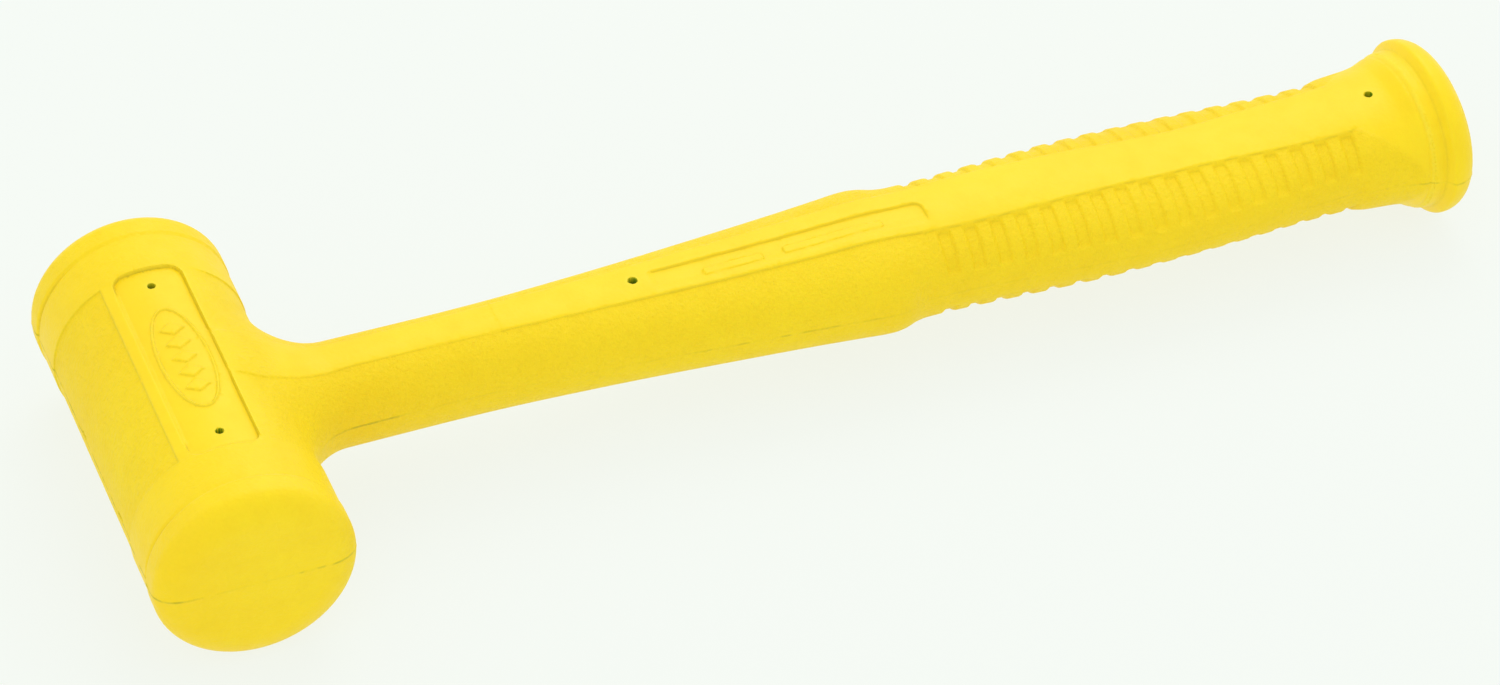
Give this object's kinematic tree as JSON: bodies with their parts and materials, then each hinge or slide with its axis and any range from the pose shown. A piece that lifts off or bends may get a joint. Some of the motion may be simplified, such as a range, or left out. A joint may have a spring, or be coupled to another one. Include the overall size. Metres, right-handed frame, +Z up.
{
  "type": "dead blow mallet",
  "caption": "One-piece cast urethane dead blow mallet with flat striking faces, oval ribbed grip, flared butt, and a welded steel shot canister and handle rod inside.",
  "frame": {"origin": "under the middle of the overall length and the head's own mid-plane, on the surface that the head lies on", "axes": "+X from the head to the butt, +Y along the head from one striking face to the other, +Z up through the parting plane"},
  "size_m": [0.3684, 0.114, 0.051],
  "materials": {
    "urethane": "cast urethane, satin, with smooth lands and finely textured sides",
    "canister_steel": "drawn mild steel, oiled",
    "rod_steel": "cold-drawn bar",
    "weld_metal": "weld bead with heat tint",
    "shot_steel": "hardened steel balls, dull"
  },
  "bodies": {
    "mallet": {"jacket": "urethane", "canister_tube": "canister_steel", "canister_base": "canister_steel", "canister_lid": "canister_steel", "base_weld": "weld_metal", "lid_weld": "weld_metal", "filler_plug": "canister_steel", "plug_weld": "weld_metal", "handle_rod": "rod_steel", "rod_weld": "weld_metal"},
    "shot": {"steel_shot": "shot_steel"}
  },
  "joints": [
    {"name": "shot_slide", "type": "slide", "parent": "mallet", "child": "shot", "axis": [0, 1, 0], "range_m": [-0.007, 0.007]}
  ]
}
